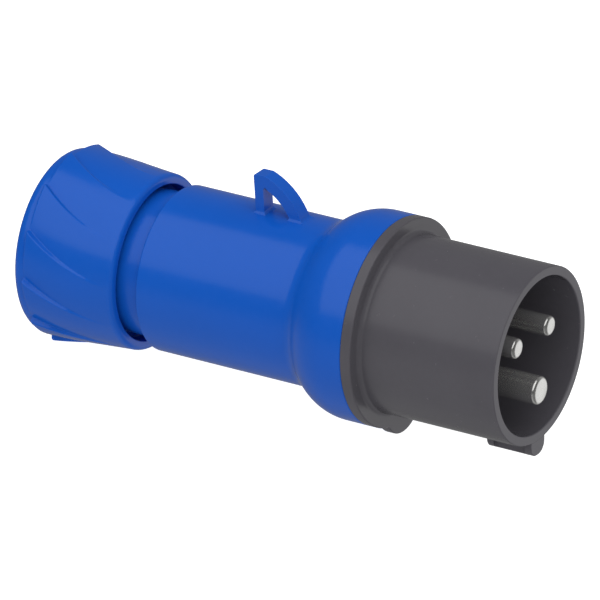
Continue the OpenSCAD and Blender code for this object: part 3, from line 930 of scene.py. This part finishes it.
@dataclass
class TerminalChamber:
    """What holds the pins in the carrier and keeps their wires apart, and the seal behind them."""

    circle_r: float = ContactCarrier.circle_r
    collar_back: float = -42.6
    retainer_t: float = 2.3
    retainer_r: float = 20.3
    retainer_edge: float = 0.3
    barrel_r: float = 4.6
    screw_r: float = 1.75
    screw_fit: float = 0.1
    thread_front: float = -38.7
    thread_h: float = 0.3
    pitch: float = 0.8
    head_h: float = 2.2
    cross_l: float = 0.62
    cross_w: float = 0.9
    cross_h: float = 1.1
    hub_r: float = 3.0
    hub_l: float = 9.0
    hub_room: float = 0.4
    wall_t: float = 1.2
    wall_l: float = 13.0
    wall_root: float = 2.25
    wall_reach: float = 17.2
    wall_edge: float = 0.15
    seal_d: float = 1.9

    def __post_init__(self) -> None:
        """Works out the places that follow."""
        self.retainer_back = self.collar_back - self.retainer_t
        self.hub_back = self.retainer_back - self.hub_l
        self.wall_back = self.retainer_back - self.wall_l

    def retainer(self) -> None:
        """Makes the plate that holds the pins' collars."""
        front, back, r, edge = self.collar_back, self.retainer_back, self.retainer_r, self.retainer_edge
        plate = Solid.turned(Outline([(front, 0), (front, r, edge), (back, r, edge), (back, 0)]), 96)
        for angle, _ in (pole.value for pole in Pole):
            plate.cut(Solid.drill(back - OVER, front + OVER, self.barrel_r, self.circle_r).about(angle))
        plate.cut(Solid.drill(back - OVER, front + OVER, self.screw_r + self.screw_fit))
        plate.piece("retainer", BLACK_PLASTIC, Slot.RETAINER, "pin_retainer")

    def barrier(self) -> None:
        """Makes the three insulating walls on their hub."""
        front, half = self.retainer_back, self.wall_t / 2
        hub = Solid.turned(Outline([(front, 0), (front, self.hub_r), (self.hub_back, self.hub_r, 0.2),
                                    (self.hub_back, 0)]), 64)
        for angle in LUG_ANGLES:
            wall = Solid.block((self.wall_back, self.wall_root, -half), (front, self.wall_reach, half), self.wall_edge)
            hub.joined(wall.about(angle))
        hub.cut(Solid.drill(self.hub_back - OVER, front + OVER, self.screw_r + self.screw_fit),
                Solid.drill(self.wall_back - OVER, self.hub_back, self.hub_r + self.hub_room))
        hub.piece("barrier", WHITE_PLASTIC, Slot.BARRIER, "phase_barrier")

    def screw(self) -> None:
        """Makes the cross-slotted screw through the hub."""
        front, head, back = high("retainer_screw").x, self.hub_r - 0.1, self.hub_back - self.head_h
        thread = Thread(self.thread_front, self.retainer_back, self.screw_r, self.thread_h, self.pitch)
        screw = Solid.turned(Outline([
            (front, 0), (front, self.screw_r, 0.3), *thread.rows(0.1), (self.hub_back, self.screw_r),
            (self.hub_back, head, 0.2), (back, head, 0.6), (back, 0)]), 48)
        screw.move_each(thread.place)
        reach, half = self.cross_l * head, self.cross_w / 2
        for angle in (0, 90):
            slot = Solid.block((back - OVER, -reach, -half), (back + self.cross_h, reach, half))
            screw.cut(slot.about(angle))
        screw.piece("retaining_screw", SCREW_PLATE, Slot.ZINC, "retainer_screw")

    def seal(self) -> None:
        """Makes the round seal between carrier and housing."""
        front, back = ends("housing_seal")
        centre = ((back + front) / 2, high("housing_seal").y - self.seal_d / 2)
        section = ring(*arc(centre, self.seal_d / 2, 0, 345, 23))
        Solid.turned(section, 128).piece("seal_ring", SEAL_RUBBER, Slot.SEAL, "housing_seal")

    def build(self) -> None:
        """Makes all four pieces."""
        self.retainer()
        self.barrier()
        self.screw()
        self.seal()


@dataclass
class RearHousing:
    """The blue housing: rim, dome, plain body with its hanging loop, and threaded neck.

    front_leg and top_leg are how much thicker than its back leg the loop's front leg and top are. slot_turn and
    entry_turn are where the two runs of a bayonet slot start, from its lug, and how far they go, in degrees.
    """

    wall: float = 2.4
    body_r: float = 20.35
    bore_r: float = 23.2
    dome_lead: float = 5.9
    dome_round: float = 14.2
    dome_blend: float = 5.0
    neck_step: float = 2.55
    neck_wall: float = 2.5
    edge: float = 0.4
    seat_lead: float = 1.8
    stop_r: float = 12.85
    thread_lead: float = 8.2
    thread_l: float = 14.4
    thread_h: float = 0.8
    pitch: float = 3.0
    loop_lead: float = 22.5
    loop_t: float = 4.1
    loop_l: float = 12.5
    loop_leg: float = 2.4
    loop_flat: float = 2.4
    loop_rake: float = 0.8
    loop_round: float = 17.5
    loop_back_round: float = 0.6
    loop_edge: float = 0.42
    front_leg: float = 1.2
    top_leg: float = 1.25
    loop_flare: float = 0.8
    flare_rows: Point = (0.05, 0.15, 0.3, 0.5, 0.8, 1.2)
    slot_front: float = 0.8
    slot_back: float = 3.2
    slot_r: float = 24.1
    slot_turn: Point = (-8.5, 42.0)
    entry_lead: float = 1.2
    entry_r: float = 24.0
    entry_turn: Point = (17.0, 16.0)

    def __post_init__(self) -> None:
        """Works out the places that follow from the CAD node and the sizes."""
        self.front, self.back = ends("rear_housing")
        self.rim_r = high("rear_housing").y
        self.loop_top = high("rear_housing").z
        self.dome_x = self.front - self.dome_lead
        self.dome_c = self.rim_r - self.dome_round
        reach = self.dome_round + self.dome_blend
        rise = self.body_r + self.dome_blend - self.dome_c
        self.dome_end = degrees(acos(rise / reach))
        self.blend_x = self.dome_x - sqrt(reach**2 - rise**2)
        self.shoulder = high("clamp_collet").x + self.seat_lead
        self.neck_r = self.body_r - self.neck_step
        self.cavity_r = self.body_r - self.wall
        self.loop_x = self.shoulder + self.loop_lead
        start = self.shoulder - self.thread_lead
        self.thread = Thread(start, start - self.thread_l, self.neck_r, self.thread_h, self.pitch)

    def outline(self) -> Outline:
        """Draws the turned part.

        Returns:
            Its half section.
        """
        inner = self.dome_round - self.wall
        inner_end = degrees(acos((self.cavity_r - self.dome_c) / inner))
        seat_r, seat, stop = self.neck_r - self.neck_wall, self.shoulder - self.seat_lead, self.shoulder + self.wall
        return ring(
            (self.front, self.bore_r), (self.front, self.rim_r, self.edge),
            *arc((self.dome_x, self.dome_c), self.dome_round, 90, 90 + self.dome_end, 24),
            *arc((self.blend_x, self.body_r + self.dome_blend), self.dome_blend, 270 + self.dome_end, 270, 10)[1:],
            (self.shoulder, self.body_r, self.edge), (self.shoulder, self.neck_r, 0.3), *self.thread.rows(0.2),
            (self.back, self.neck_r, self.edge), (self.back, seat_r, 0.2), (seat, seat_r), (seat, self.stop_r),
            (stop, self.stop_r), (stop, self.cavity_r, 0.6),
            *arc((self.dome_x, self.dome_c), inner, 90 + inner_end, 90, 12), grain=2.0)

    def loop(self) -> Solid:
        """Builds the hanging loop: a raked back leg and a curved front leg, with flared feet.

        Returns:
            The loop, whose feet reach into the body.
        """
        foot, back_x, leg = self.body_r - OVER, self.loop_x, self.loop_leg
        crown = Vector((back_x + self.loop_flat, self.loop_top))
        chord = Vector((back_x + self.loop_l, self.body_r)) - crown
        side = Vector((chord.y, -chord.x)).normalized()
        centre = crown + chord / 2 + side * sqrt(self.loop_round**2 - chord.length**2 / 4)

        def front_arc(radius: float, top: float) -> list[Point]:
            """Points on the front leg from a height down to the foot."""
            turns = [90 - degrees(acos(min(1.0, (z - centre.y) / radius))) for z in (top, foot)]
            return arc(tuple(centre), radius, *turns, 14)

        inner_top = self.loop_top - self.top_leg * leg
        tilt = self.loop_rake / (self.loop_top - self.body_r)
        outer = front_arc(self.loop_round, self.loop_top)
        inner = front_arc(self.loop_round - self.front_leg * leg, inner_top)
        outer[0], inner[0] = (*outer[0], 0.3), (*inner[0], 0.5)
        band = ring(
            (back_x, foot), (back_x - self.loop_rake, self.loop_top, self.loop_back_round), *outer, *reversed(inner),
            (back_x + leg - tilt * (inner_top - self.body_r), inner_top, 0.8), (back_x + leg, foot))

        def outer_edge(edge: Edge) -> bool:
            """Picks the edges of the loop's two flat sides that lie on its outside.

            Args:
                edge: An edge of the loop.

            Returns:
                Whether it is one of them.
            """
            a, b = (v.co for v in edge.verts)
            if abs(a.y - b.y) > NEAR or max(a.z, b.z) < self.body_r + 0.2:
                return False
            on_arc = all(abs((Vector((p.x, p.z)) - centre).length - self.loop_round) < 0.05 for p in (a, b))
            on_top = min(a.z, b.z) > self.loop_top - 1.3 and max(a.x, b.x) < crown.x + 0.3
            return on_arc or on_top or max(a.x, b.x) < back_x + 0.1

        half = self.loop_t / 2
        return self.flared(Solid.slab(band, -half, half, Axis.Y).rounded(self.loop_edge, outer_edge, 4))

    def flared(self, solid: Solid) -> Solid:
        """Spreads the feet of the loop's legs in a hollow round where they meet the body.

        Args:
            solid: The loop.

        Returns:
            The same loop.
        """
        bm, size = solid.bm, self.loop_flare
        for height in self.flare_rows:
            bmesh.ops.bisect_plane(bm, geom=bm.verts[:] + bm.edges[:] + bm.faces[:], dist=1e-4,
                                   plane_co=(0, 0, self.body_r + height), plane_no=(0, 0, 1))
        half = self.loop_leg / 2
        for vert in bm.verts:
            rise = vert.co.z - sqrt(self.body_r**2 - vert.co.y**2)
            gap = max(0.0, min(size, size - rise))
            if gap:
                spread = size - sqrt(size**2 - gap**2)
                leg_x = self.loop_x + (half if vert.co.x < self.loop_x + self.loop_l / 2 else self.loop_l - half)
                vert.co.y += spread * (1 if vert.co.y > 0 else -1)
                vert.co.x += spread * (1 if vert.co.x > leg_x else -1)
        return solid

    def slots(self) -> list[Solid]:
        """Builds the bayonet slots for the carrier's three lugs.

        Returns:
            For each lug the run that it turns in and the entry that leads to it.
        """
        front, back, root = self.front - self.slot_front, self.front - self.slot_back, self.bore_r - OVER
        entry, mouth = back + self.entry_lead, self.front + OVER
        run = ring((back, root), (back, self.slot_r), (front, self.slot_r), (front, root))
        way = ring((entry, root), (entry, self.entry_r), (mouth, self.entry_r), (mouth, root))
        return [Solid.turned(outline, 12, angle + start, span) for angle in LUG_ANGLES
                for outline, (start, span) in ((run, self.slot_turn), (way, self.entry_turn))]

    def build(self) -> None:
        """Makes the piece."""
        shell = Solid.turned(self.outline()).move_each(self.thread.place)
        shell.joined(self.loop()).cut(*self.slots())
        shell.piece("housing", BLUE_SHELL, Slot.BLUE, "rear_housing")


@dataclass
class CableClamp:
    """What grips the cable in the neck: collet, grommet with its reducer, and the thrust washer.

    groove has the corners of one of the grommet's two grooves, as (place from its middle, depth), and rib those
    between two of the reducer's ribs, as (part of their spacing, depth).
    """

    seat_r: float = 15.2
    tip_r: float = 12.95
    fingers: int = 10
    finger_gap: float = 1.6
    finger_root: float = 7.5
    collet_lip: float = 1.2
    lip_t: float = 1.5
    grommet_r: float = 12.05
    groove: tuple[Point, ...] = ((4.0, 0.0), (3.0, 1.0), (1.5, 1.0), (0.5, 0.0))
    reducer_r: float = 8.25
    cable_r: float = 5.35
    ribs: int = 3
    rib: tuple[Point, ...] = ((0.2, 0.0), (0.35, 0.6), (0.65, 0.6), (0.8, 0.0))
    fit: float = 0.05
    washer_r: float = 13.25
    washer_in: float = 8.8
    washer_edge: float = 0.15

    def collet(self) -> None:
        """Makes the ring of fingers."""
        front, back = ends("clamp_collet")
        neck, half = low("rear_housing").x, self.finger_gap / 2
        lip_r, lip_x = self.grommet_r - self.collet_lip, front - self.lip_t
        collet = Solid.turned(ring(
            (front, lip_r, 0.2), (front, self.seat_r, 0.3), (neck, self.seat_r, 0.3), (back, self.tip_r, 0.3),
            (back, self.grommet_r, 0.2), (lip_x, self.grommet_r), (lip_x, lip_r), grain=2.5), 160)
        for i in range(self.fingers):
            start, end = (back - OVER, self.grommet_r / 2, -half), (front - self.finger_root, self.seat_r * 1.5, half)
            collet.cut(Solid.block(start, end).about(FULL_TURN / self.fingers * i))
        collet.piece("collet", WHITE_PLASTIC, Slot.COLLET, "clamp_collet")

    def seals(self) -> None:
        """Makes the grommet, grooved outside, and its reducer, ribbed inside."""
        front, back = ends("cable_grommet")
        r, mid = self.grommet_r - self.fit, (front + back) / 2
        grooves = [(mid + d, r - h, 0.2) for d, h in self.groove]
        grooves += [(mid - d, r - h, 0.2) for d, h in reversed(self.groove)]
        grommet = ring((front, self.reducer_r), (front, r, 0.3), *grooves, (back, r, 0.4), (back, self.reducer_r))
        Solid.turned(grommet, 128).piece("grommet", GROMMET_RUBBER, Slot.GROMMET, "cable_grommet")
        step, r = (back - front) / self.ribs, self.reducer_r - self.fit
        ribs = [(front + i * step + part * step, self.cable_r + depth, 0.2)
                for i in range(self.ribs) for part, depth in self.rib]
        reducer = ring((back, self.cable_r), (back, r), (front, r), (front, self.cable_r), *ribs)
        Solid.turned(reducer, 96).piece("reducer", GROMMET_RUBBER, Slot.GROMMET, "grommet_reducer")

    def washer(self) -> None:
        """Makes the slip ring between the collet and the nut."""
        front, back = ends("thrust_washer")
        inner, outer, edge = self.washer_in, self.washer_r, self.washer_edge
        section = ring((front, inner, edge), (front, outer, edge), (back, outer, edge), (back, inner, edge))
        Solid.turned(section, 96).piece("washer", WHITE_PLASTIC, Slot.COLLET, "thrust_washer", Body.SLIP_RING)

    def build(self) -> None:
        """Makes all four pieces."""
        self.collet()
        self.seals()
        self.washer()


@dataclass
class GlandNut:
    """The blue gland nut, with swept sawtooth blades round its tapered skin."""

    front_set: float = 0.6
    front_r: float = 21.65
    back_r: float = 23.05
    lip_wall: float = 2.4
    lip_round: float = 1.4
    recess: float = 5.0
    back_wall: float = 2.8
    back_round: float = 2.35
    entry_r: float = 8.6
    pocket_r: float = 13.35
    pocket_l: float = 5.7
    mouth_r: float = 16.2
    mouth_set: float = 0.3
    thread_r: float = 17.9
    thread_h: float = 0.8
    pitch: float = 3.0
    blades: int = 12
    blade_h: float = 1.45
    blade_fade: float = 1.6
    blade_inset: float = 3.5
    blade_sweep: float = 23.5
    blade_phase: float = 3.3
    sweep_power: float = 1.65
    riser_w: float = 0.55
    ridge_round: float = 0.35
    root_round: float = 0.3
    end_round: float = 0.5
    end_rows: Point = (0.0, 0.01, 0.06, 0.15, 0.3, 0.5)
    skin_rows: int = 26

    def __post_init__(self) -> None:
        """Works out the places and the blades' section from the CAD nodes and the sizes."""
        front, self.back = ends("gland_nut")
        self.front = front - self.front_set
        self.blade_back = self.back + self.blade_inset
        self.neck_back = low("rear_housing").x
        thread_x = self.front - self.recess, self.neck_back - self.mouth_set
        self.thread = Thread(*thread_x, self.thread_r, -self.thread_h, self.pitch)
        span = tau * self.back_r / self.blades
        section = Outline([
            (-self.riser_w / 2, self.blade_h / 2), (0, self.blade_h, self.ridge_round),
            (span - self.riser_w, 0, self.root_round), (span - self.riser_w / 2, self.blade_h / 2)], grain=1.6)
        self.columns = [(s / span, h / self.blade_h) for s, h in section.path()[:-1]]

    def skin_r(self, x: float) -> float:
        """Radius of the tapered skin under the blades."""
        return self.back_r + (self.front_r - self.back_r) * (x - self.back) / (self.front - self.back)

    def run(self, x: float) -> float:
        """How far along the blades a place is, from 0 at their back ends to 1 at the lip."""
        return max(0.0, min(1.0, (x - self.blade_back) / (self.front - self.lip_round - self.blade_back)))

    def blade_end(self, x: float) -> float:
        """Part of a blade's height that its rounded back end leaves, and 0 behind it."""
        part = min(1.0, max(0.0, x - self.blade_back) / self.end_round)
        return (part > 0) * (1.0 - self.end_round / self.blade_h * (1.0 - sqrt(1.0 - (1.0 - part) ** 2)))

    def outline(self) -> Outline:
        """Draws the nut without its blades.

        Returns:
            Its half section.
        """
        rows = [self.blade_back + d for d in self.end_rows]
        first, last = rows[-1], self.front - self.lip_round - 0.2
        rows += [first + (last - first) * i / self.skin_rows for i in range(1, self.skin_rows + 1)]
        skin = [(x, self.skin_r(x)) for x in reversed(rows)]
        shoulder, pocket, lip_r = self.back + self.back_round, self.back + self.back_wall, self.front_r - self.lip_wall
        return ring(
            (self.front, lip_r, 0.3), (self.front, self.front_r, self.lip_round), *skin,
            (self.back, self.skin_r(shoulder), self.back_round), (self.back, self.entry_r, 0.5),
            (pocket, self.entry_r, 0.3), (pocket, self.pocket_r), (self.neck_back - self.pocket_l, self.pocket_r),
            (self.thread.back, self.mouth_r), *reversed(self.thread.rows(0.2)), (self.thread.front + OVER, lip_r))

    def shape(self, x: float, radius: float, angle: float) -> Point:
        """Puts a point of the plain nut on the bladed one.

        Args:
            x: The point's place on the axis.
            radius: Its radius.
            angle: Its angle, in radians.

        Returns:
            Its new place, radius and angle.
        """
        count = len(self.columns)
        column = round(angle / tau * self.blades * count) % (self.blades * count)
        blade, place = divmod(column, count)
        along, height = self.columns[place]
        run = self.run(x)
        turn = self.blade_phase + self.blade_sweep * (1 - (1 - run) ** self.sweep_power)
        if abs(radius - self.skin_r(x)) < NEAR:
            radius += self.blade_h * height * (1 - run) ** self.blade_fade * self.blade_end(x)
        return x, radius, radians(turn) + (blade + along) * tau / self.blades

    def build(self) -> None:
        """Makes the piece."""
        nut = Solid.turned(self.outline(), self.blades * len(self.columns))
        nut.move_each(self.shape).move_each(self.thread.place)
        nut.piece("nut_piece", BLUE_SHELL, Slot.NUT_BLUE, "gland_nut", Body.NUT)


@dataclass(frozen=True)
class StudioCamera:
    """A camera at the photograph's angle."""

    azimuth: float = 0.540
    elevation: float = 0.417
    roll: float = 0.003
    distance: float = 2333.2
    target: Point = (-65.394, 0.0, -0.699)
    lens: float = 589.365
    sensor: float = 36.0
    reach: float = 50.0

    def build(self) -> None:
        """Makes the camera the scene's own."""
        right = Vector((cos(self.azimuth), sin(self.azimuth), 0.0))
        level = cos(self.elevation)
        back = Vector((level * sin(self.azimuth), -level * cos(self.azimuth), sin(self.elevation)))
        up = back.cross(right)
        across = right * cos(self.roll) + up * sin(self.roll)
        above = up * cos(self.roll) - right * sin(self.roll)
        data = bpy.data.cameras.new("studio_camera")
        data.lens, data.sensor_width, data.clip_end = self.lens, self.sensor, self.reach
        place = Matrix((across, above, back)).transposed().to_4x4()
        place.translation = (Vector(self.target) + back * self.distance) * MM
        bpy.context.scene.camera = placed("studio_camera", data, place)


@dataclass(frozen=True)
class Studio:
    """Pale floor, white surroundings and one large softbox, whose places and sizes are in metres.

    A glossy surface mirrors the upper surroundings as dim, the floor as pale, and the wall behind the plug and the
    panel in front of its mouth by those names. Matt surfaces are lit by sky from all round, by bounce from the floor
    and by front from in front, and backdrop is how bright the surroundings show. floor_gap and ridge, the distance
    from the nut's back to its lowest ridge, are in millimetres.
    """

    floor_size: float = 12.0
    floor_gap: float = 0.02
    ridge: float = 4.3
    sky: float = 0.51
    backdrop: float = 1.05
    dim: float = 0.02
    pale: float = 0.36
    wall: float = 0.17
    panel: float = 0.55
    bounce: float = 0.3
    front: float = 0.25
    box_way: Point = (0.05, -0.50, 0.78)
    box_aim: Point = (-0.065, 0.0, 0.0)
    box_distance: float = 1.6
    box_size: Point = (3.0, 2.8)
    box_level: float = 0.85

    def floor(self) -> None:
        """The floor, tilted so that it touches the foot and the nut's lowest blade."""
        foot = (low("contact_carrier").z, high("rear_housing").x)
        nut = (low("gland_nut").z, low("gland_nut").x + self.ridge)
        slope = (nut[0] - foot[0]) / (nut[1] - foot[1])
        bm = bmesh.new()
        bmesh.ops.create_grid(bm, x_segments=4, y_segments=4, size=self.floor_size / 2)
        turn = Matrix.Rotation(-atan2(slope, 1.0), 4, "Y")
        turn.translation = Vector((foot[1], 0.0, foot[0] - self.floor_gap)) * MM
        bmesh.ops.transform(bm, matrix=turn, verts=bm.verts)
        floor = placed("studio_floor", bm)
        floor.data.materials.append(STUDIO_PAPER.material())
        floor.visible_diffuse = floor.visible_glossy = False

    def surroundings(self) -> None:
        """White surroundings that a glossy surface mirrors only dimly, as it does a dark studio."""
        world = bpy.data.worlds.new("studio")
        world.use_nodes = True
        sheet = Sheet(world.node_tree)
        glossy, camera = (sheet.node("ShaderNodeLightPath", {}, {}, ray) for ray in ("Is Glossy Ray", "Is Camera Ray"))
        way = sheet.node("ShaderNodeTexCoord", {}, {}, "Generated")
        ahead, behind, rise = (sheet.node("ShaderNodeSeparateXYZ", {}, {"Vector": way}, axis) for axis in "XYZ")
        # The floor below the horizon, fainter behind the plug and ahead of its mouth
        floor = sheet.range(rise, -0.35, -0.05, self.pale - self.dim, 0.0) * sheet.range(behind, 0.0, 0.5, 1.0, 0.5)
        floor = floor * sheet.range(ahead, 0.1, 0.6, 1.0, 0.2)
        # The wall behind the plug, and the low panel at the far side of its mouth
        mirrored = self.dim + floor + sheet.range(behind, 0.3, 0.9, 0.0, self.wall)
        panel = sheet.range(ahead, 0.15, 0.4, 0.0, self.panel) * sheet.range(rise, -0.1, 0.2, 1.0, 0.0)
        mirrored = mirrored + panel * sheet.range(behind, 0.45, 0.7, 0.0, 1.0)
        # What lights matt surfaces: the sky, the floor's bounce and a little more from in front
        soft = self.sky + sheet.range(rise, -0.9, -0.1, self.bounce, 0.0)
        soft = soft + sheet.range(ahead, 0.0, 1.0, 0.0, self.front)
        level = soft + camera * (self.backdrop - soft) + glossy * (mirrored - soft)
        light = sheet.node("ShaderNodeBackground", {}, {"Color": (1.0, 1.0, 1.0, 1.0), "Strength": level})
        sheet.node("ShaderNodeOutputWorld", {}, {"Surface": light})
        bpy.context.scene.world = world

    def softbox(self) -> None:
        """The softbox above the plug's left."""
        data = bpy.data.lights.new("softbox", "AREA")
        data.shape = "RECTANGLE"
        data.size, data.size_y = self.box_size
        data.energy = self.box_level * pi * data.size * data.size_y
        way = Vector(self.box_way).normalized()
        across = (Vector((1.0, 0.0, 0.0)) - way * way.x).normalized()
        place = Matrix((across, way.cross(across), way)).transposed().to_4x4()
        place.translation = Vector(self.box_aim) + way * self.box_distance
        placed("softbox", data, place).visible_camera = False

    def build(self) -> None:
        """Sets the studio up."""
        self.floor()
        self.surroundings()
        self.softbox()
        bpy.context.scene.view_settings.view_transform = "Standard"


class Builder(Protocol):
    """What main() builds, one after another."""

    def build(self) -> None:
        """Makes its pieces."""


def main() -> None:
    """Builds the camera, the plug's pieces and the studio in order."""
    logging.basicConfig(level=logging.INFO, format="%(message)s")
    builders: list[Builder] = [
        StudioCamera(), ContactCarrier(), *(Terminal(pole) for pole in Pole), TerminalChamber(), RearHousing(),
        CableClamp(), GlandNut(), Studio(),
    ]
    for builder in builders:
        builder.build()
        LOG.info("%s done", type(builder).__name__)


if __name__ == "__main__":
    main()
